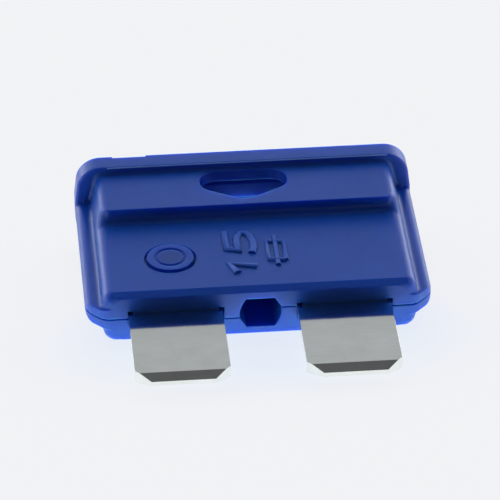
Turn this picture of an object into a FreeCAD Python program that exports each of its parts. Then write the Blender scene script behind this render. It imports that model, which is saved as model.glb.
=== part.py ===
import FreeCAD, Part
import math
import os
from FreeCAD import Vector

# Regular blade fuse, lying on its back. X runs across the two blades, Y from the blade
# tips towards the finger head, Z out of the front face. The origin is the middle of the
# housing's blade end, in the mid-plane of the blades. All sizes are in millimetres.

# Driving sizes of the housing
BODY_WIDTH = 19.1
BODY_HEIGHT = 12.4
HEAD_HEIGHT = 1.2
HEAD_THICKNESS = 5.52
HEAD_END_RADIUS = 1.4
HEAD_RIM_RADIUS = 0.15
HEAD_DRAFT_DEGREES = 7.0
RAISED_THICKNESS = 4.68
LOWER_THICKNESS = 3.0
END_THICKNESS = 2.64
STEP_HEIGHT = 7.45
STEP_FILLET = 0.42
END_CHAMFER_RUN = 0.47
LEDGE_FILLET = 0.2
SIDE_DRAFT_DEGREES = 14.0
SIDE_EDGE_RADIUS = 0.55
END_CORNER_RADIUS = 0.6

# Side ribs that carry the grip width down to the blade end
RIB_THICKNESS = 1.1
RIB_OVERHANG = 0.84
RIB_END_CHAMFER = 1.0
RIB_CORNER_RADIUS = 1.4
RIB_EDGE_RADIUS = 0.45
RIB_FOOT_RADIUS = 0.8
RIB_ROOT_FILLET = 0.3

# Window in the raised face, with its V-shaped lower side
WINDOW_OFFSET = -0.09
WINDOW_HALF_WIDTH = 2.47
WINDOW_HEIGHT = 2.94
WINDOW_LEDGE_GAP = 0.22
WINDOW_TOP_RADIUS = 1.0
WINDOW_SHOULDER_RADIUS = 1.0
WINDOW_V_DEGREES = 30.5
WINDOW_FOOT_WIDTH = 0.8
WINDOW_FOOT_RADIUS = 0.15

# Chamber behind the window, around the fusible link
CHAMBER_WIDTH = 9.0
CHAMBER_FOOT = 7.95
CHAMBER_WALL = 0.66
CHAMBER_SILL = 0.15
CHAMBER_SILL_DROP = 0.1
LINK_ROOM_LEVEL = 0.55
LINK_ROOM_DEPTH = 0.4
CHAMBER_RADIUS = 0.5

# Passage between the blades, open at the blade end
PASSAGE_THICKNESS = 1.82
PASSAGE_FLAT = 1.56
PASSAGE_BOW = 0.95
PASSAGE_WIDTH = 2.3
PASSAGE_DEPTH = 5.6

# Stamped element: two blades and the link between them
BLADE_WIDTH = 5.17
BLADE_PITCH = 9.26
BLADE_THICKNESS = 0.65
BLADE_LENGTH = 6.28
TIP_CHAMFER = 0.85
TIP_BEVEL_LENGTH = 0.6
TIP_THICKNESS = 0.25
BLADE_SHOULDER = 8.6
PROBE_TAB_TOP = 10.4
PROBE_TAB_WIDTH = 2.0
LINK_THICKNESS = 0.3
LINK_WIDTH = 1.0
LINK_NECK_WIDTH = 0.55
LINK_NECK_LENGTH = 1.1
LINK_TOP = 10.4
LINK_BEND_RADIUS = 1.1
LINK_SPAN = 7.3

# Stakes: each shell has one pin that is headed over in the other shell's hole
STAKE_OFFSET = 4.68
STAKE_HEIGHT = 3.53
STAKE_RADIUS = 1.28
STAKE_CLEARANCE = 0.02
STAKE_ROOT = 0.3
STAKE_HEAD_RISE = 0.1
STAKE_RING_WIDTH = 0.17
STAKE_RING_DEPTH = 0.25
STAKE_GROOVE_RADIUS = 0.82
STAKE_GROOVE_DEPTH = 0.1
BLADE_HOLE_CLEARANCE = 0.1

# Fits between the shells and the element
SLOT_CLEARANCE = 0.05
ELEMENT_LEAN = 0.8
TONGUE_CLEARANCE = 0.08
SLOT_RELIEF_WIDTH = 0.3
SLOT_RELIEF_HEIGHT = 0.17
SLOT_RELIEF_DEPTH = 0.6
SEAM_RELIEF_HEIGHT = 0.045
SEAM_RELIEF_DEPTH = 0.3

# Openings in the head through which a test probe reaches the element
PROBE_SLOT_WIDTH = 1.9
PROBE_SLOT_OFFSET = 6.4
PROBE_SLOT_DEPTH = 0.8
PROBE_SINK = 0.12

# Levels and places worked out from the sizes above
HALF_WIDTH = BODY_WIDTH / 2
SIDE_SLOPE = math.tan(math.radians(SIDE_DRAFT_DEGREES))
HEAD_SLOPE = math.tan(math.radians(HEAD_DRAFT_DEGREES))
HEAD_FOOT = BODY_HEIGHT - HEAD_HEIGHT
HEAD_LEVEL = HEAD_THICKNESS / 2
RAISED_LEVEL = RAISED_THICKNESS / 2
LOWER_LEVEL = LOWER_THICKNESS / 2
END_LEVEL = END_THICKNESS / 2
RIB_LEVEL = RIB_THICKNESS / 2
BLOCK_HALF_WIDTH = HALF_WIDTH - RIB_OVERHANG
BLADE_LEVEL = BLADE_THICKNESS / 2
BLADE_INNER = (BLADE_PITCH - BLADE_WIDTH) / 2
BLADE_OUTER = (BLADE_PITCH + BLADE_WIDTH) / 2
SLOT_INNER = BLADE_INNER - SLOT_CLEARANCE
SLOT_OUTER = BLADE_OUTER + SLOT_CLEARANCE
CHAMBER_LEVEL = RAISED_LEVEL - CHAMBER_WALL
WINDOW_TOP = HEAD_FOOT - WINDOW_LEDGE_GAP
WINDOW_FOOT = WINDOW_TOP - WINDOW_HEIGHT
STAKE_HOLE_RADIUS = STAKE_RADIUS + STAKE_CLEARANCE
OVERRUN = 1.0

# How near a point must lie to a plane to count as on it
NEAR = 0.01


def wire_through(points):
    return Part.makePolygon(points + [points[0]])


def slab(points, direction):
    """Solid made by pushing a flat outline along a direction."""
    return Part.Face(wire_through(points)).extrude(direction)


def block_between(low, high):
    """Box given by two opposite corners."""
    size = high - low
    return Part.makeBox(size.x, size.y, size.z, low)


def edges_where(shape, test):
    """Edges of a shape whose two ends and middle all satisfy a test."""
    found = []
    for edge in shape.Edges:
        middle = edge.valueAt((edge.FirstParameter + edge.LastParameter) / 2)
        spots = [vertex.Point for vertex in edge.Vertexes] + [middle]
        if all(test(spot) for spot in spots):
            found.append(edge)
    return found


def turned_about_height(shape):
    """The same solid turned half a turn about the fuse's height, the Y axis."""
    turned = shape.copy()
    turned.rotate(Vector(0, 0, 0), Vector(0, 1, 0), 180)
    return turned


def side_profile():
    """Section of the half block in the YZ plane, with the step's hollow fillet."""
    hollow_middle = math.sqrt(0.5)
    step_foot = STEP_HEIGHT - STEP_FILLET
    centre_level = LOWER_LEVEL + STEP_FILLET
    corner = Vector(0, step_foot + STEP_FILLET * hollow_middle,
                    centre_level - STEP_FILLET * hollow_middle)
    outline = [
        Vector(0, 0, 0),
        Vector(0, 0, END_LEVEL),
        Vector(0, END_CHAMFER_RUN, LOWER_LEVEL),
        Vector(0, step_foot, LOWER_LEVEL),
    ]
    after_step = [
        Vector(0, STEP_HEIGHT, centre_level),
        Vector(0, STEP_HEIGHT, RAISED_LEVEL),
        Vector(0, HEAD_FOOT, RAISED_LEVEL),
        Vector(0, HEAD_FOOT, 0),
        Vector(0, 0, 0),
    ]
    edges = [Part.LineSegment(a, b).toShape() for a, b in zip(outline, outline[1:])]
    edges.append(Part.Arc(outline[-1], corner, after_step[0]).toShape())
    edges += [Part.LineSegment(a, b).toShape() for a, b in zip(after_step, after_step[1:])]
    return Part.Face(Part.Wire(edges))


def half_block():
    """Stepped block of one shell, drafted on both sides and rounded along them."""
    reach = HALF_WIDTH + OVERRUN
    profile = side_profile()
    profile.translate(Vector(-reach, 0, 0))
    stepped = profile.extrude(Vector(2 * reach, 0, 0))
    top = HEAD_LEVEL + OVERRUN
    narrow = BLOCK_HALF_WIDTH - SIDE_SLOPE * (top - RIB_LEVEL)
    section = [
        Vector(-BLOCK_HALF_WIDTH, -OVERRUN, 0),
        Vector(-BLOCK_HALF_WIDTH, -OVERRUN, RIB_LEVEL),
        Vector(-narrow, -OVERRUN, top),
        Vector(narrow, -OVERRUN, top),
        Vector(BLOCK_HALF_WIDTH, -OVERRUN, RIB_LEVEL),
        Vector(BLOCK_HALF_WIDTH, -OVERRUN, 0),
    ]
    drafted = slab(section, Vector(0, BODY_HEIGHT + 2 * OVERRUN, 0))
    block = stepped.common(drafted)

    def at_end_corner(spot):
        return spot.y < NEAR and abs(spot.x) > narrow

    def is_upright(edge):
        return edge.BoundBox.ZLength > END_LEVEL / 4

    corners = [edge for edge in edges_where(block, at_end_corner) if is_upright(edge)]
    block = block.makeFillet(END_CORNER_RADIUS, corners)

    def along_side(spot):
        return spot.z > END_LEVEL - NEAR and abs(spot.x) > narrow and spot.y < HEAD_FOOT + NEAR

    return block.makeFillet(SIDE_EDGE_RADIUS, edges_where(block, along_side))


def rib_plan(height):
    """Outline of both side ribs, slanted at the blade end, pushed up to a height."""
    foot = HALF_WIDTH - RIB_END_CHAMFER
    top = HEAD_FOOT + HEAD_RIM_RADIUS
    outline = [
        Vector(-foot, 0, 0),
        Vector(foot, 0, 0),
        Vector(HALF_WIDTH, RIB_END_CHAMFER, 0),
        Vector(HALF_WIDTH, top, 0),
        Vector(-HALF_WIDTH, top, 0),
        Vector(-HALF_WIDTH, RIB_END_CHAMFER, 0),
    ]
    plate = slab(outline, Vector(0, 0, height))

    def at_corner(spot):
        return abs(spot.y - RIB_END_CHAMFER) < NEAR and abs(spot.x) > HALF_WIDTH - NEAR

    plate = plate.makeFillet(RIB_CORNER_RADIUS, edges_where(plate, at_corner))

    def at_foot(spot):
        return spot.y < NEAR and abs(abs(spot.x) - foot) < NEAR

    return plate.makeFillet(RIB_FOOT_RADIUS, edges_where(plate, at_foot))


def half_rib_plate():
    """Plate of both side ribs, rounded along the sides and cut at a slant at the blade end."""
    top = HEAD_FOOT + HEAD_RIM_RADIUS

    def along_side(spot):
        return abs(spot.z - RIB_LEVEL) < NEAR and abs(spot.x) > HALF_WIDTH - NEAR

    bar = block_between(Vector(-HALF_WIDTH, 0, 0), Vector(HALF_WIDTH, top, RIB_LEVEL))
    rounded = bar.makeFillet(RIB_EDGE_RADIUS, edges_where(bar, along_side))
    return rounded.common(rib_plan(RIB_LEVEL))


def cove_section(corner, one_way, other_way):
    """Section that fills a corner between two faces with a hollow fillet."""
    half_angle = one_way.getAngle(other_way) / 2
    run = RIB_ROOT_FILLET / math.tan(half_angle)
    outward = (one_way + other_way).normalize()
    first = corner + one_way * run
    last = corner + other_way * run
    middle = corner + outward * (RIB_ROOT_FILLET / math.sin(half_angle) - RIB_ROOT_FILLET)
    inside = corner - outward * run
    edges = [
        Part.Arc(first, middle, last).toShape(),
        Part.LineSegment(last, inside).toShape(),
        Part.LineSegment(inside, first).toShape(),
    ]
    return Part.Face(Part.Wire(edges))


def rib_coves():
    """Hollow fillets in the corners between each rib and the block, and each rib and the head."""
    coves = []
    plan = rib_plan(HEAD_LEVEL)
    corner_start = END_CORNER_RADIUS
    for side in (-1, 1):
        out = Vector(side, 0, 0)
        up = Vector(0, 0, 1)
        up_wall = Vector(-side * SIDE_SLOPE, 0, 1).normalize()
        start = Vector(side * BLOCK_HALF_WIDTH, corner_start, RIB_LEVEL)
        section = cove_section(start, out, up_wall)
        coves.append(section.extrude(Vector(0, HEAD_FOOT - corner_start, 0)))
        pivot = Vector(side * (BLOCK_HALF_WIDTH - END_CORNER_RADIUS), corner_start, 0)
        coves.append(section.revolve(pivot, up, -side * 90).common(plan))
        corner = Vector(side * BLOCK_HALF_WIDTH, HEAD_FOOT, RIB_LEVEL)
        section = cove_section(corner, Vector(0, -1, 0), up)
        coves.append(section.extrude(out * (RIB_OVERHANG - RIB_EDGE_RADIUS)))
    return coves


def half_head():
    """Finger head of one shell, a bar with drafted and rounded ends."""
    narrow = HALF_WIDTH - HEAD_SLOPE * (HEAD_LEVEL - RIB_LEVEL)
    section = [
        Vector(-HALF_WIDTH, HEAD_FOOT, 0),
        Vector(-HALF_WIDTH, HEAD_FOOT, RIB_LEVEL),
        Vector(-narrow, HEAD_FOOT, HEAD_LEVEL),
        Vector(narrow, HEAD_FOOT, HEAD_LEVEL),
        Vector(HALF_WIDTH, HEAD_FOOT, RIB_LEVEL),
        Vector(HALF_WIDTH, HEAD_FOOT, 0),
    ]
    bar = slab(section, Vector(0, HEAD_HEIGHT, 0))

    def at_end(spot):
        return abs(spot.x) > narrow - NEAR and abs(spot.z - HEAD_LEVEL) < NEAR

    bar = bar.makeFillet(HEAD_END_RADIUS, edges_where(bar, at_end))

    def on_blade_side(spot):
        return abs(spot.y - HEAD_FOOT) < NEAR

    rim = [edge for edge in edges_where(bar, on_blade_side) if edge.BoundBox.ZMax > NEAR]
    return bar.makeFillet(HEAD_RIM_RADIUS, rim)


def half_housing():
    """Outer form of one shell above the mid-plane."""
    form = half_block().fuse([half_rib_plate(), half_head()]).removeSplitter()

    def under_head(spot):
        on_block = abs(spot.x) < BLOCK_HALF_WIDTH + NEAR and spot.z < RAISED_LEVEL + NEAR
        return abs(spot.y - HEAD_FOOT) < NEAR and spot.z > RIB_LEVEL - NEAR and on_block

    form = form.makeFillet(LEDGE_FILLET, edges_where(form, under_head))
    return form.fuse(rib_coves()).removeSplitter()


def window_cut():
    """Opening through the raised face, with a V-shaped lower side."""
    rise = (WINDOW_HALF_WIDTH - WINDOW_FOOT_WIDTH / 2) * math.tan(math.radians(WINDOW_V_DEGREES))
    shoulder = WINDOW_FOOT + rise
    right = [
        Vector(WINDOW_FOOT_WIDTH / 2, WINDOW_FOOT, 0),
        Vector(WINDOW_HALF_WIDTH, shoulder, 0),
        Vector(WINDOW_HALF_WIDTH, WINDOW_TOP, 0),
    ]
    left = [Vector(-spot.x, spot.y, 0) for spot in reversed(right)]
    height = CHAMBER_WALL + LEDGE_FILLET + BLADE_LEVEL
    cut = slab(right + left, Vector(0, 0, height))
    corners = [
        (WINDOW_FOOT, WINDOW_FOOT_RADIUS),
        (shoulder, WINDOW_SHOULDER_RADIUS),
        (WINDOW_TOP, WINDOW_TOP_RADIUS),
    ]
    for level, radius in corners:
        def upright(spot, level=level):
            return abs(spot.y - level) < NEAR

        rims = edges_where(cut, upright)
        upright_edges = [edge for edge in rims if edge.BoundBox.ZLength > height / 2]
        cut = cut.makeFillet(radius, upright_edges)
    cut.translate(Vector(WINDOW_OFFSET, 0, CHAMBER_LEVEL - BLADE_LEVEL))
    return cut


def chamber_cut():
    """Room for the fusible link, one half in each shell, with a sill under the window's top."""
    left = -CHAMBER_WIDTH / 2
    sill_level = CHAMBER_LEVEL - CHAMBER_SILL_DROP
    profile = [
        Vector(left, CHAMBER_FOOT, -OVERRUN),
        Vector(left, CHAMBER_FOOT, CHAMBER_LEVEL),
        Vector(left, WINDOW_TOP + CHAMBER_SILL, CHAMBER_LEVEL),
        Vector(left, WINDOW_TOP + CHAMBER_SILL, sill_level),
        Vector(left, WINDOW_TOP, sill_level - CHAMBER_SILL),
        Vector(left, WINDOW_TOP, LINK_ROOM_LEVEL),
        Vector(left, WINDOW_TOP + LINK_ROOM_DEPTH, LINK_ROOM_LEVEL),
        Vector(left, WINDOW_TOP + LINK_ROOM_DEPTH, -OVERRUN),
    ]
    room = slab(profile, Vector(CHAMBER_WIDTH, 0, 0))

    def at_foot(spot):
        return abs(spot.y - CHAMBER_FOOT) < NEAR and abs(spot.x) > CHAMBER_WIDTH / 2 - NEAR

    return room.makeFillet(CHAMBER_RADIUS, edges_where(room, at_foot))


def passage_cut():
    """Half of the passage between the blades: one side bowed, the other cut straight."""
    wide = PASSAGE_WIDTH / 2
    flat = PASSAGE_FLAT / 2
    top = PASSAGE_THICKNESS / 2
    start = Vector(-wide, -OVERRUN, -BLADE_LEVEL)
    bow = Vector(-wide * PASSAGE_BOW, -OVERRUN, BLADE_LEVEL)
    bow_end = Vector(-flat, -OVERRUN, top)
    others = [
        bow_end,
        Vector(flat, -OVERRUN, top),
        Vector(wide, -OVERRUN, BLADE_LEVEL),
        Vector(wide, -OVERRUN, -OVERRUN),
        Vector(-wide, -OVERRUN, -OVERRUN),
        start,
    ]
    edges = [Part.Arc(start, bow, bow_end).toShape()]
    edges += [Part.LineSegment(a, b).toShape() for a, b in zip(others, others[1:])]
    return Part.Face(Part.Wire(edges)).extrude(Vector(0, PASSAGE_DEPTH + OVERRUN, 0))


def element_pockets():
    """Recesses in the mating face for the two blades, their tabs and the other tongue."""
    low = -OVERRUN
    shoulder = BLADE_SHOULDER + SLOT_CLEARANCE
    tab_top = PROBE_TAB_TOP + SLOT_CLEARANCE
    tab_inner = BLADE_OUTER - PROBE_TAB_WIDTH - SLOT_CLEARANCE
    pockets = [
        block_between(Vector(-SLOT_OUTER, low, 0), Vector(-SLOT_INNER, shoulder, BLADE_LEVEL)),
        block_between(Vector(SLOT_INNER, low, 0), Vector(SLOT_OUTER, shoulder, BLADE_LEVEL)),
        block_between(Vector(0, low, 0), Vector(SLOT_INNER, CHAMBER_FOOT, BLADE_LEVEL)),
    ]
    for side in (-1, 1):
        left, right = sorted((side * tab_inner, side * SLOT_OUTER))
        tab = block_between(Vector(left, shoulder, 0), Vector(right, tab_top, BLADE_LEVEL))
        pockets.append(tab)
    return pockets


def slot_reliefs():
    """Small notches over the blades' edges at the blade end."""
    cuts = []
    top = BLADE_LEVEL + SLOT_RELIEF_HEIGHT
    for side in (-1, 1):
        for start in (SLOT_INNER, SLOT_OUTER - SLOT_RELIEF_WIDTH):
            low, high = sorted((side * start, side * (start + SLOT_RELIEF_WIDTH)))
            notch = block_between(Vector(low, -OVERRUN, 0), Vector(high, SLOT_RELIEF_DEPTH, top))
            cuts.append(notch)
    return cuts


def seam_relief():
    """Shallow gap all round the mating face, outside a kept area, which shows as the seam."""
    depth = SEAM_RELIEF_DEPTH
    mitre = depth * math.tan(math.pi / 8)
    right = [
        Vector(SLOT_OUTER, -OVERRUN, 0),
        Vector(SLOT_OUTER, depth, 0),
        Vector(HALF_WIDTH - RIB_END_CHAMFER - mitre, depth, 0),
        Vector(HALF_WIDTH - depth, RIB_END_CHAMFER + mitre, 0),
        Vector(HALF_WIDTH - depth, BODY_HEIGHT - depth, 0),
    ]
    left = [Vector(-spot.x, spot.y, 0) for spot in reversed(right)]
    kept = slab(right + left, Vector(0, 0, SEAM_RELIEF_HEIGHT))
    low = Vector(-HALF_WIDTH - OVERRUN, -OVERRUN, 0)
    high = Vector(HALF_WIDTH + OVERRUN, BODY_HEIGHT + OVERRUN, SEAM_RELIEF_HEIGHT)
    return block_between(low, high).cut(kept)


def tongue():
    """Wall beside the passage that reaches into the other shell."""
    floor = TONGUE_CLEARANCE - BLADE_LEVEL
    low = Vector(-SLOT_INNER, 0, floor)
    high = Vector(-TONGUE_CLEARANCE, CHAMBER_FOOT, BLADE_LEVEL)
    return block_between(low, high)


def stake_pin():
    """Headed pin of one shell, with a ring groove in its end beyond the other shell's face."""
    end_level = LOWER_LEVEL + STAKE_HEAD_RISE
    place = Vector(STAKE_OFFSET, STAKE_HEIGHT, -end_level)
    pin = Part.makeCylinder(STAKE_RADIUS, end_level + BLADE_LEVEL + STAKE_ROOT, place)
    return pin.cut(Part.makeTorus(STAKE_GROOVE_RADIUS, STAKE_GROOVE_DEPTH, place))


def stake_hole_cuts():
    """Hole for the other shell's pin, with the ring groove that its head leaves."""
    foot = Vector(-STAKE_OFFSET, STAKE_HEIGHT, 0)
    ring_foot = foot + Vector(0, 0, LOWER_LEVEL - STAKE_RING_DEPTH)
    return [
        Part.makeCylinder(STAKE_HOLE_RADIUS, LOWER_LEVEL + OVERRUN, foot),
        Part.makeCylinder(STAKE_RADIUS + STAKE_RING_WIDTH, STAKE_RING_DEPTH + OVERRUN, ring_foot),
    ]


def probe_cuts():
    """Opening in the head over the tab, and the slight sink in the head above it."""
    left = -PROBE_SLOT_OFFSET - PROBE_SLOT_WIDTH / 2
    right = -PROBE_SLOT_OFFSET + PROBE_SLOT_WIDTH / 2
    top = BODY_HEIGHT + OVERRUN
    slot = block_between(Vector(left, PROBE_TAB_TOP, 0), Vector(right, top, PROBE_SLOT_DEPTH))
    sink_foot = Vector(left, BODY_HEIGHT - PROBE_SINK, 0)
    sink = block_between(sink_foot, Vector(right, top, HEAD_LEVEL + OVERRUN))
    return [slot, sink]


def make_front_shell():
    shell = half_housing().cut(element_pockets() + [chamber_cut(), window_cut()])
    shell = shell.fuse(tongue())
    openings = [passage_cut(), seam_relief()] + slot_reliefs() + stake_hole_cuts() + probe_cuts()
    shell = shell.cut(openings)
    return shell.fuse(stake_pin()).removeSplitter().Solids[0]


def blade(side):
    """One blade with its coined tip, stake hole, shoulder and probe tab."""
    chamfer = TIP_CHAMFER
    outline = [
        Vector(BLADE_INNER + chamfer, -BLADE_LENGTH, -BLADE_LEVEL),
        Vector(BLADE_OUTER - chamfer, -BLADE_LENGTH, -BLADE_LEVEL),
        Vector(BLADE_OUTER, chamfer - BLADE_LENGTH, -BLADE_LEVEL),
        Vector(BLADE_OUTER, PROBE_TAB_TOP, -BLADE_LEVEL),
        Vector(BLADE_OUTER - PROBE_TAB_WIDTH, PROBE_TAB_TOP, -BLADE_LEVEL),
        Vector(BLADE_OUTER - PROBE_TAB_WIDTH, BLADE_SHOULDER, -BLADE_LEVEL),
        Vector(BLADE_INNER, BLADE_SHOULDER, -BLADE_LEVEL),
        Vector(BLADE_INNER, chamfer - BLADE_LENGTH, -BLADE_LEVEL),
    ]
    plate = slab(outline, Vector(0, 0, BLADE_THICKNESS))
    hole_radius = STAKE_RADIUS + BLADE_HOLE_CLEARANCE
    hole_foot = Vector(STAKE_OFFSET, STAKE_HEIGHT, -OVERRUN)
    plate = plate.cut(Part.makeCylinder(hole_radius, 2 * OVERRUN, hole_foot))
    tip = -BLADE_LENGTH
    drop = BLADE_LEVEL - TIP_THICKNESS / 2
    slope = drop / TIP_BEVEL_LENGTH
    for face in (-1, 1):
        wedge = [
            Vector(0, tip + TIP_BEVEL_LENGTH, face * BLADE_LEVEL),
            Vector(0, tip - OVERRUN, face * (BLADE_LEVEL - drop - slope * OVERRUN)),
            Vector(0, tip - OVERRUN, face * BLADE_LEVEL),
        ]
        plate = plate.cut(slab(wedge, Vector(BODY_WIDTH, 0, 0)))
    if side < 0:
        plate = turned_about_height(plate)
    return plate


def link():
    """Thin arch between the blades, narrowed in the middle where it melts."""
    low = -LINK_THICKNESS / 2
    reach = LINK_SPAN / 2
    foot = BLADE_SHOULDER - LINK_WIDTH / 2

    def arch(half, top, radius):
        solid = block_between(Vector(-half, foot, low), Vector(half, top, low + LINK_THICKNESS))
        upright = [edge for edge in solid.Edges if edge.BoundBox.ZLength > LINK_THICKNESS / 2]
        corners = [edge for edge in upright if edge.BoundBox.YMin > top - NEAR]
        return solid.makeFillet(radius, corners)

    outer = arch(reach + LINK_WIDTH / 2, LINK_TOP, LINK_BEND_RADIUS + LINK_WIDTH / 2)
    inner = arch(reach - LINK_WIDTH / 2, LINK_TOP - LINK_WIDTH, LINK_BEND_RADIUS - LINK_WIDTH / 2)
    strip = outer.cut(inner)
    bite = (LINK_WIDTH - LINK_NECK_WIDTH) / 2
    notch_radius = ((LINK_NECK_LENGTH / 2) ** 2 + bite ** 2) / (2 * bite)
    middle = LINK_TOP - LINK_WIDTH / 2
    for way in (-1, 1):
        centre = Vector(0, middle + way * (LINK_NECK_WIDTH / 2 + notch_radius), -OVERRUN)
        strip = strip.cut(Part.makeCylinder(notch_radius, 2 * OVERRUN, centre))
    return strip


def make_fuse_element():
    """The whole stamping, lying a little to one side within its slots."""
    element = blade(1).fuse([blade(-1), link()]).removeSplitter().Solids[0]
    element.translate(Vector(-ELEMENT_LEAN * SLOT_CLEARANCE, 0, 0))
    return element


front_shell = make_front_shell()
nodes = {
    "front_shell": front_shell,
    "rear_shell": turned_about_height(front_shell),
    "fuse_element": make_fuse_element(),
}

os.makedirs("parts", exist_ok=True)
for name, shape in nodes.items():
    shape.exportStep("parts/" + name + ".step")
    print(name, round(shape.Volume, 2), "mm3", shape.isValid())
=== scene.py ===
import bpy
import math
from mathutils import Matrix, Vector


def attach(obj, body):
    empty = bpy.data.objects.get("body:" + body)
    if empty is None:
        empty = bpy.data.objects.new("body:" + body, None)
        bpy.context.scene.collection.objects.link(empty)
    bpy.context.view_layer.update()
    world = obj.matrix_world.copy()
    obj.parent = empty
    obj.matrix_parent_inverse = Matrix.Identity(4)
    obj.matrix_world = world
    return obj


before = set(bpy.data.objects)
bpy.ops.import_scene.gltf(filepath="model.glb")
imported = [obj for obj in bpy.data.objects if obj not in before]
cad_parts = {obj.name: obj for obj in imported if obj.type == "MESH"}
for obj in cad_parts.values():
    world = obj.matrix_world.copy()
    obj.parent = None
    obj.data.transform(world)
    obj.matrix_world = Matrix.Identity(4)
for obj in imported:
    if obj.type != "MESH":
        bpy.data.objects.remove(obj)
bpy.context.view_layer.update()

# Regular blade fuse lying on its back. X runs across the blades, Y from the blade tips to
# the finger head, Z out of the front face. All lengths are in metres, all colours linear.
MM = 0.001

# View of the photograph: elevation above the front face, turn away from the Y axis and roll
VIEW_ELEVATION = math.radians(33.12)
VIEW_TURN = math.radians(4.83)
VIEW_ROLL = math.radians(0.28)
VIEW_DISTANCE = 239.1 * MM
VIEW_TARGET = Vector((-0.04, 6.27, 0.0)) * MM
VIEW_LENS = 307.8
VIEW_SENSOR = 36.0
VIEW_NEAR = 10.0 * MM
VIEW_FAR = 10000.0 * MM

# Levels of the housing above its mid-plane and the two edges that it lies on, as in its solids
LOWER_LEVEL = 1.5 * MM
RAISED_LEVEL = 2.34 * MM
LOWER_EDGE = 0.47 * MM
RAISED_EDGE = 7.45 * MM

# Blue plastic: gloss, the depth that light passes and its share by colour, rounding of the
# edges in the shading, and the swing of the tone in soft clouds and in fine grain
BLUE = (0.011, 0.091, 0.51)
PLASTIC_ROUGHNESS = 0.33
PLASTIC_IOR = 1.43
PLASTIC_DEPTH = 0.8 * MM
PLASTIC_SPREAD = (0.1, 0.25, 1.0)
PLASTIC_EDGE = 0.09 * MM
CLOUD_SCALE = 260.0
CLOUD_DETAIL = 3.0
CLOUD_BAND = (0.35, 0.65)
CLOUD_TONES = (0.96, 1.04)
GRAIN_SCALE = 9000.0
GRAIN_DETAIL = 2.0
GRAIN_STRENGTH = 0.06

# Ends of the stakes: place on each face, and the darker disc in the middle of each
STAKE_OFFSET = 4.68 * MM
STAKE_HEIGHT = 3.53 * MM
DISC_RADIUS = 0.5 * MM
DISC_FADE = 0.78 * MM
DISC_TONE = 0.76

# Raised marks on the front face, read from the fuse's right. The strokes are drawn on a
# grid one unit high, and each is a flattened round ridge.
# The marks' plastic is lighter than the face by this factor, a painted highlight on the ridges.
MARK_HIGHLIGHT_TONE = 1.2
MARK_RISE = 0.15 * MM
MARK_SLANT = 0.12
MARK_ROUNDING = 3
RATING_STROKES = (
    ((0.05, 0.72), (0.32, 1.0), (0.32, 0.0)),
    ((1.42, 1.0), (0.84, 1.0), (0.8, 0.55), (1.0, 0.62), (1.25, 0.6), (1.43, 0.45), (1.46, 0.28),
     (1.38, 0.1), (1.2, 0.0), (0.98, 0.0), (0.78, 0.1)),
)
RATING_MIDDLE = Vector((-0.75, 3.8, 1.5)) * MM
RATING_HEIGHT = 1.5 * MM
RATING_STRETCH = 1.95
RATING_STROKE = 0.46 * MM
SYMBOL_STROKES = (
    ((0.0, 0.5), (3.0, 0.5)),
    ((0.55, 0.0), (2.45, 0.0), (2.45, 1.0), (0.55, 1.0), (0.55, 0.0)),
)
SYMBOL_MIDDLE = Vector((1.2, 3.75, 1.5)) * MM
SYMBOL_HEIGHT = 0.95 * MM
SYMBOL_STRETCH = 1.0
SYMBOL_STROKE = 0.3 * MM

# Fine flash left by the mould along the head's lower edge, on each face, coloured pale as a
# painted highlight of that edge
FLASH_HIGHLIGHT_BLUE = (0.24, 0.46, 0.98)
FLASH_ROUGHNESS = 0.3
FLASH_RADIUS = 0.03 * MM
FLASH_ROUNDING = 2
FLASH_START = -7.7 * MM
FLASH_END = 8.2 * MM
FLASH_HEIGHT = 11.235 * MM
FLASH_LEVEL = 2.72 * MM

# Zinc: fine rolled lines across the blades, soft patches, and the tones of both together
ZINC = (0.945, 0.975, 0.94)
ZINC_DULL = (0.945, 0.955, 0.935)
ZINC_BRIGHT = (1.02, 1.02, 1.02)
ZINC_BAND = (0.38, 0.62)
ZINC_ROUGHNESS = 0.06
ZINC_ROUGHER = 0.08
ZINC_EDGE = 0.04 * MM
ZINC_STRENGTH = 0.1
LINE_STRETCH = (0.06, 1.0, 1.0)
LINE_SCALE = 13000.0
LINE_DETAIL = 3.0
LINE_SHARE = 0.35
PATCH_SCALE = 900.0
PATCH_DETAIL = 4.0

# Painted shade on the blades close to the housing, by Y, with its patchy border
HOUSING_SHADE_START = -2.1 * MM
HOUSING_SHADE_END = -3.3 * MM
HOUSING_SHADE_TONE = 0.95
HOUSING_SHADE_WAVE = 3.0 * MM

# Shading of edges and of fine relief, for both materials
EDGE_SAMPLES = 6
RELIEF = 0.01 * MM

# Floor: size, gap under the fuse, the share of its own light, and its colours. A faint blue tint,
# painted bounce light from the fuse, lies round the blade end, strongest up to a share of its reach.
FLOOR_HALF = 600.0 * MM
FLOOR_GAP = 0.01 * MM
FLOOR_SHARE = 0.88
FLOOR_WHITE = (0.93, 0.935, 0.955)
FLOOR_BOUNCE_TINT = (0.84, 0.9, 1.0)
BOUNCE_MIDDLE = -1.0 * MM
BOUNCE_REACH = (15.0 * MM, 7.5 * MM)
BOUNCE_CORE = 0.35

# Light that the floor gives to the fuse, by Y, and on the patch under the window
GLOW_WHITE = (0.93, 1.0, 0.945)
GLOW_LEVELS = (
    (-7.5 * MM, 0.1), (-3.5 * MM, 2.6), (-0.7 * MM, 2.6), (0.5 * MM, 1.9), (5.0 * MM, 1.15),
)
GLOW_SPAN = 40.0 * MM
UNDER_GLOW = 4.5
UNDER_MIDDLE = 8.0 * MM
UNDER_HALF = (5.5 * MM, 3.0 * MM)

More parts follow.
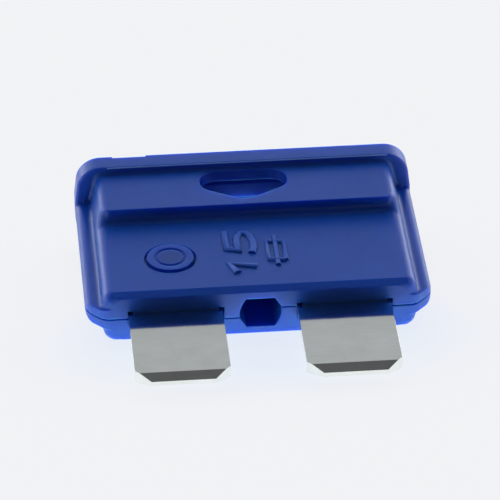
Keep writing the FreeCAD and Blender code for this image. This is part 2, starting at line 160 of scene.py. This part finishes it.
# Studio: levels of the surroundings by the sine of the elevation, the level on the camera's
# side with the band in which it fades in, the cap for matte surfaces, and the soft lamp
SKY_WHITE = (0.93, 0.95, 1.0)
SKY_LEVELS = ((0.0, 3.2), (0.17, 1.55), (0.55, 0.435), (0.77, 0.28), (0.94, 0.085), (1.0, 0.2))
FRONT_LEVEL = 0.07
FRONT_BAND = (-0.6, 0.15)
MATTE_CAP = 1.4
LAMP_LEVEL = 0.35
LAMP_ELEVATION = math.radians(50.0)
LAMP_SPREAD = math.radians(80.0)


class Nodes:
    """Node tree that is built with short calls."""

    def __init__(self, owner):
        owner.use_nodes = True
        self.tree = owner.node_tree
        self.tree.nodes.clear()

    def add(self, kind, **values):
        node = self.tree.nodes.new(kind)
        for name, value in values.items():
            setattr(node, name, value)
        return node

    def wire(self, output, target):
        self.tree.links.new(output, target)

    def math(self, operation, first, second=None, clamp=False):
        node = self.add("ShaderNodeMath", operation=operation, use_clamp=clamp)
        for place, value in enumerate((first, second)):
            if value is None:
                continue
            if isinstance(value, (int, float)):
                node.inputs[place].default_value = value
            else:
                self.wire(value, node.inputs[place])
        return node.outputs[0]

    def coordinates(self, kind):
        """Place of each point, and the same split into its three parts."""
        place = self.add("ShaderNodeTexCoord").outputs[kind]
        split = self.add("ShaderNodeSeparateXYZ")
        self.wire(place, split.inputs[0])
        return place, split.outputs

    def noise(self, place, scale, detail):
        node = self.add("ShaderNodeTexNoise")
        node.inputs["Scale"].default_value = scale
        node.inputs["Detail"].default_value = detail
        self.wire(place, node.inputs["Vector"])
        return node.outputs["Fac"]

    def ramp(self, factor, stops):
        node = self.add("ShaderNodeValToRGB")
        elements = node.color_ramp.elements
        while len(elements) < len(stops):
            elements.new(0.5)
        for element, (place, color) in zip(elements, stops):
            element.position = place
            element.color = opaque(color)
        self.wire(factor, node.inputs[0])
        return node.outputs[0]

    def fade(self, value, band, levels):
        """Smooth change from one level to the other over a band of the value."""
        node = self.add("ShaderNodeMapRange", interpolation_type="SMOOTHSTEP")
        node.inputs["From Min"].default_value, node.inputs["From Max"].default_value = band
        node.inputs["To Min"].default_value, node.inputs["To Max"].default_value = levels
        self.wire(value, node.inputs["Value"])
        return node.outputs[0]

    def tone(self, color, level):
        node = self.add("ShaderNodeVectorMath", operation="SCALE")
        self.wire(color, node.inputs[0])
        self.wire(level, node.inputs["Scale"])
        return node.outputs[0]

    def blend(self, factor, first, second):
        node = self.add("ShaderNodeMixShader")
        if isinstance(factor, float):
            node.inputs[0].default_value = factor
        else:
            self.wire(factor, node.inputs[0])
        self.wire(first.outputs[0], node.inputs[1])
        self.wire(second.outputs[0], node.inputs[2])
        return node

    def skin(self, edge_radius, height, strength):
        """Surface shader with softened edges and fine relief, wired to the output."""
        skin = self.add("ShaderNodeBsdfPrincipled")
        out = self.add("ShaderNodeOutputMaterial")
        self.wire(skin.outputs[0], out.inputs["Surface"])
        edge = self.add("ShaderNodeBevel", samples=EDGE_SAMPLES)
        edge.inputs["Radius"].default_value = edge_radius
        bump = self.add("ShaderNodeBump")
        bump.inputs["Strength"].default_value = strength
        bump.inputs["Distance"].default_value = RELIEF
        self.wire(height, bump.inputs["Height"])
        self.wire(edge.outputs[0], bump.inputs["Normal"])
        self.wire(bump.outputs[0], skin.inputs["Normal"])
        return skin


def opaque(color):
    return tuple(color) + (1.0,)


def toned(color, tones):
    return tuple(channel * tone for channel, tone in zip(color, tones))


def place_object(name, data):
    piece = bpy.data.objects.new(name, data)
    bpy.context.scene.collection.objects.link(piece)
    return piece


def round_curve(name, lines, radius, rounding):
    """Curve of straight strokes with a round section."""
    curve = bpy.data.curves.new(name, "CURVE")
    curve.dimensions = "3D"
    curve.bevel_depth = radius
    curve.bevel_resolution = rounding
    for line in lines:
        spline = curve.splines.new("POLY")
        spline.points.add(len(line) - 1)
        for point, place in zip(spline.points, line):
            point.co = (*place, 1.0)
    return curve


def stake_disc(nodes, place):
    """Tone that is lower on the middle of the stake end which shows on each face."""
    facing = nodes.math("MULTIPLY", place["X"], nodes.math("SIGN", place["Z"]))
    across = nodes.math("ADD", facing, STAKE_OFFSET)
    along = nodes.math("SUBTRACT", place["Y"], STAKE_HEIGHT)
    across_square = nodes.math("MULTIPLY", across, across)
    along_square = nodes.math("MULTIPLY", along, along)
    distance = nodes.math("SQRT", nodes.math("ADD", across_square, along_square))
    return nodes.fade(distance, (DISC_RADIUS, DISC_FADE), (DISC_TONE, 1.0))


def make_plastic(name, tone, depth):
    """Moulded blue plastic: satin, translucent to a depth, with softened edges."""
    material = bpy.data.materials.new(name)
    nodes = Nodes(material)
    place, parts = nodes.coordinates("Object")
    grain = nodes.noise(place, GRAIN_SCALE, GRAIN_DETAIL)
    skin = nodes.skin(PLASTIC_EDGE, grain, GRAIN_STRENGTH)
    cloud = nodes.noise(place, CLOUD_SCALE, CLOUD_DETAIL)
    tones = [toned(BLUE, (tone * swing,) * 3) for swing in CLOUD_TONES]
    clouded = nodes.ramp(cloud, list(zip(CLOUD_BAND, tones)))
    nodes.wire(nodes.tone(clouded, stake_disc(nodes, parts)), skin.inputs["Base Color"])
    skin.inputs["Roughness"].default_value = PLASTIC_ROUGHNESS
    skin.inputs["IOR"].default_value = PLASTIC_IOR
    skin.inputs["Subsurface Weight"].default_value = 1.0 if depth > 0 else 0.0
    skin.inputs["Subsurface Radius"].default_value = PLASTIC_SPREAD
    skin.inputs["Subsurface Scale"].default_value = depth
    return material


def zinc_housing_shade(nodes, place, patches):
    """Tone of the painted shade near the housing, whose border wanders with the patches."""
    wave = nodes.math("MULTIPLY", nodes.math("SUBTRACT", patches, 0.5), HOUSING_SHADE_WAVE)
    along = nodes.math("ADD", place["Y"], wave)
    return nodes.fade(along, (HOUSING_SHADE_END, HOUSING_SHADE_START), (1.0, HOUSING_SHADE_TONE))


def make_zinc():
    """Rolled zinc strip: fine lines across the blades, soft patches and a dull shine."""
    material = bpy.data.materials.new("rolled_zinc")
    nodes = Nodes(material)
    place, parts = nodes.coordinates("Object")
    stretch = nodes.add("ShaderNodeMapping")
    stretch.inputs["Scale"].default_value = LINE_STRETCH
    nodes.wire(place, stretch.inputs["Vector"])
    lines = nodes.noise(stretch.outputs[0], LINE_SCALE, LINE_DETAIL)
    patches = nodes.noise(place, PATCH_SCALE, PATCH_DETAIL)
    line_part = nodes.math("MULTIPLY", lines, LINE_SHARE)
    patch_part = nodes.math("MULTIPLY", patches, 1.0 - LINE_SHARE)
    mix = nodes.math("ADD", line_part, patch_part)
    skin = nodes.skin(ZINC_EDGE, mix, ZINC_STRENGTH)
    tones = (toned(ZINC, ZINC_DULL), toned(ZINC, ZINC_BRIGHT))
    rolled = nodes.ramp(mix, list(zip(ZINC_BAND, tones)))
    # The rolled tones darken towards the housing as painted shade.
    nodes.wire(nodes.tone(rolled, zinc_housing_shade(nodes, parts, patches)), skin.inputs["Base Color"])
    rough = nodes.math("ADD", nodes.math("MULTIPLY", mix, ZINC_ROUGHER), ZINC_ROUGHNESS)
    nodes.wire(rough, skin.inputs["Roughness"])
    skin.inputs["Metallic"].default_value = 1.0
    return material


def make_flash_highlight_plastic():
    """Paler plastic of the thin flash, a painted highlight along the head's lower edge."""
    material = bpy.data.materials.new("flash_painted_highlight")
    material.use_nodes = True
    skin = material.node_tree.nodes["Principled BSDF"]
    skin.inputs["Base Color"].default_value = opaque(FLASH_HIGHLIGHT_BLUE)
    skin.inputs["Roughness"].default_value = FLASH_ROUGHNESS
    return material


def dress_nodes(plastic, zinc):
    coats = {"front_shell": plastic, "rear_shell": plastic, "fuse_element": zinc}
    for name, coat in coats.items():
        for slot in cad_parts[name].material_slots:
            slot.material = coat


def make_mark(name, strokes, middle, height, stretch, thick, plastic):
    """Raised mark of flattened ridges on the front face, turned to read from the right side."""
    slanted = [[(x + MARK_SLANT * y, y) for x, y in stroke] for stroke in strokes]
    across = [x for stroke in slanted for x, y in stroke]
    centre = (min(across) + max(across)) / 2
    lines = []
    for stroke in slanted:
        lines.append([((x - centre) * stretch * height, (y - 0.5) * height, 0.0) for x, y in stroke])
    curve = round_curve(name, lines, thick / 2, MARK_ROUNDING)
    curve.use_fill_caps = True
    drawn = place_object(name, curve)
    mesh = bpy.data.meshes.new_from_object(drawn)
    bpy.data.objects.remove(drawn)
    for polygon in mesh.polygons:
        polygon.use_smooth = True
    for vertex in mesh.vertices:
        vertex.co.z *= MARK_RISE / (thick / 2)
    mesh.materials.clear()
    mesh.materials.append(plastic)
    mark = place_object(name, mesh)
    mark.matrix_world = Matrix.Translation(middle) @ Matrix.Rotation(math.pi / 2, 4, "Z")
    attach(mark, "root")


def make_flash(plastic):
    """Thin ridge along the head's lower edge, pale as a painted highlight; the rear one is the front
    one turned over.
    """
    for name, side in (("front_flash_highlight", 1), ("rear_flash_highlight", -1)):
        ends = [(side * x, FLASH_HEIGHT, side * FLASH_LEVEL) for x in (FLASH_START, FLASH_END)]
        curve = round_curve(name, [ends], FLASH_RADIUS, FLASH_ROUNDING)
        curve.materials.append(plastic)
        ridge = place_object(name, curve)
        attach(ridge, "root")


def floor_glow(nodes, place, covered):
    """Light that the fuse gets from the floor, brighter on the covered patch."""
    along = nodes.math("ADD", nodes.math("DIVIDE", place["Y"], GLOW_SPAN), 0.5)
    stops = [(y / GLOW_SPAN + 0.5, (level,) * 3) for y, level in GLOW_LEVELS]
    under = nodes.math("MULTIPLY", covered, UNDER_GLOW)
    glow = nodes.add("ShaderNodeEmission")
    glow.inputs["Color"].default_value = opaque(GLOW_WHITE)
    nodes.wire(nodes.math("MAXIMUM", nodes.ramp(along, stops), under), glow.inputs["Strength"])
    return glow


def floor_white(nodes, place, covered, glossy):
    """What the view and reflections see of the floor: painted blue bounce light round the blade end,
    and a painted shadow on the covered patch in reflections.
    """
    across = nodes.math("DIVIDE", place["X"], BOUNCE_REACH[0])
    along = nodes.math("DIVIDE", nodes.math("SUBTRACT", place["Y"], BOUNCE_MIDDLE), BOUNCE_REACH[1])
    across_square = nodes.math("POWER", across, 2.0)
    along_square = nodes.math("POWER", along, 2.0)
    distance = nodes.math("SQRT", nodes.math("ADD", across_square, along_square), clamp=True)
    bounce_tint = nodes.ramp(distance, [(BOUNCE_CORE, FLOOR_BOUNCE_TINT), (1.0, FLOOR_WHITE)])
    # Painted shadow: reflections see the floor dark on the covered patch under the fuse.
    shaded = nodes.math("MULTIPLY", covered, glossy)
    shown = nodes.add("ShaderNodeEmission")
    nodes.wire(bounce_tint, shown.inputs["Color"])
    nodes.wire(nodes.math("SUBTRACT", 1.0, shaded), shown.inputs["Strength"])
    return shown


def make_floor_paper():
    """White paper under strong light, which keeps a soft shadow of the fuse."""
    material = bpy.data.materials.new("pale_floor")
    nodes = Nodes(material)
    parts = nodes.coordinates("Object")[1]
    rays = nodes.add("ShaderNodeLightPath").outputs
    aside = nodes.math("DIVIDE", nodes.math("ABSOLUTE", parts["X"]), UNDER_HALF[0])
    away = nodes.math("ABSOLUTE", nodes.math("SUBTRACT", parts["Y"], UNDER_MIDDLE))
    reach = nodes.math("MAXIMUM", aside, nodes.math("DIVIDE", away, UNDER_HALF[1]))
    covered = nodes.math("LESS_THAN", reach, 1.0)
    glow = floor_glow(nodes, parts, covered)
    shown = floor_white(nodes, parts, covered, rays["Is Glossy Ray"])
    seen = nodes.math("MAXIMUM", rays["Is Camera Ray"], rays["Is Glossy Ray"])
    matte = nodes.add("ShaderNodeBsdfDiffuse")
    matte.inputs["Color"].default_value = opaque(FLOOR_WHITE)
    paper = nodes.blend(FLOOR_SHARE, matte, nodes.blend(seen, glow, shown))
    out = nodes.add("ShaderNodeOutputMaterial")
    nodes.wire(paper.outputs[0], out.inputs["Surface"])
    return material


def make_floor():
    """Pale sheet on which the fuse rests on the step of its face and the edge of its blade end."""
    slope = (RAISED_LEVEL - LOWER_LEVEL) / (RAISED_EDGE - LOWER_EDGE)
    half = FLOOR_HALF
    corners = []
    for x, y in ((-half, -half), (half, -half), (half, half), (-half, half)):
        corners.append((x, y, -LOWER_LEVEL - slope * (y - LOWER_EDGE) - FLOOR_GAP))
    mesh = bpy.data.meshes.new("floor")
    mesh.from_pydata(corners, [], [(0, 1, 2, 3)])
    mesh.materials.append(make_floor_paper())
    floor = place_object("floor", mesh)


def make_world():
    """Soft studio: bright round the horizon, dim overhead and on the camera's side."""
    world = bpy.data.worlds.new("studio")
    bpy.context.scene.world = world
    nodes = Nodes(world)
    parts = nodes.coordinates("Generated")[1]
    behind = nodes.fade(parts["Y"], FRONT_BAND, (FRONT_LEVEL, 1.0))
    height = nodes.ramp(parts["Z"], [(sine, (level,) * 3) for sine, level in SKY_LEVELS])
    level = nodes.math("MULTIPLY", behind, height)
    rays = nodes.add("ShaderNodeLightPath").outputs
    brightest = SKY_LEVELS[0][1]
    cap = nodes.math("ADD", nodes.math("MULTIPLY", rays["Is Glossy Ray"], brightest), MATTE_CAP)
    capped = nodes.math("MINIMUM", level, cap)
    back = nodes.add("ShaderNodeBackground")
    back.inputs["Color"].default_value = opaque(SKY_WHITE)
    nodes.wire(nodes.math("MAXIMUM", capped, rays["Is Camera Ray"]), back.inputs["Strength"])
    out = nodes.add("ShaderNodeOutputWorld")
    nodes.wire(back.outputs[0], out.inputs["Surface"])


def make_lamp():
    """Broad soft light from behind and above, which leaves the blade end in shade."""
    data = bpy.data.lights.new("soft_light", "SUN")
    data.energy = LAMP_LEVEL * math.pi
    data.angle = LAMP_SPREAD
    lamp = place_object("soft_light", data)
    toward = Vector((0.0, -math.cos(LAMP_ELEVATION), -math.sin(LAMP_ELEVATION)))
    lamp.rotation_euler = toward.to_track_quat("-Z", "Y").to_euler()
    lamp.visible_glossy = False


def make_camera():
    """View of the photograph."""
    level = Vector((math.sin(VIEW_TURN), math.cos(VIEW_TURN), 0.0))
    ahead = level * math.cos(VIEW_ELEVATION) - Vector((0.0, 0.0, math.sin(VIEW_ELEVATION)))
    data = bpy.data.cameras.new("photo_view")
    data.lens = VIEW_LENS
    data.sensor_width = VIEW_SENSOR
    data.clip_start = VIEW_NEAR
    data.clip_end = VIEW_FAR
    camera = place_object("photo_view", data)
    aim = ahead.to_track_quat("-Z", "Y").to_matrix().to_4x4()
    roll = Matrix.Rotation(-VIEW_ROLL, 4, "Z")
    camera.matrix_world = Matrix.Translation(VIEW_TARGET - ahead * VIEW_DISTANCE) @ aim @ roll
    bpy.context.scene.camera = camera


def main():
    plastic = make_plastic("moulded_blue", 1.0, PLASTIC_DEPTH)
    # Lighter plastic of the marks, a painted highlight on their ridges, with no subsurface depth.
    highlit_plastic = make_plastic("highlit_raised_blue", MARK_HIGHLIGHT_TONE, 0.0)
    dress_nodes(plastic, make_zinc())
    make_mark("rating", RATING_STROKES, RATING_MIDDLE,
              RATING_HEIGHT, RATING_STRETCH, RATING_STROKE, highlit_plastic)
    make_mark("fuse_symbol", SYMBOL_STROKES, SYMBOL_MIDDLE,
              SYMBOL_HEIGHT, SYMBOL_STRETCH, SYMBOL_STROKE, highlit_plastic)
    make_flash(make_flash_highlight_plastic())
    make_floor()
    make_world()
    make_lamp()
    make_camera()
    bpy.context.scene.view_settings.view_transform = "Standard"


main()
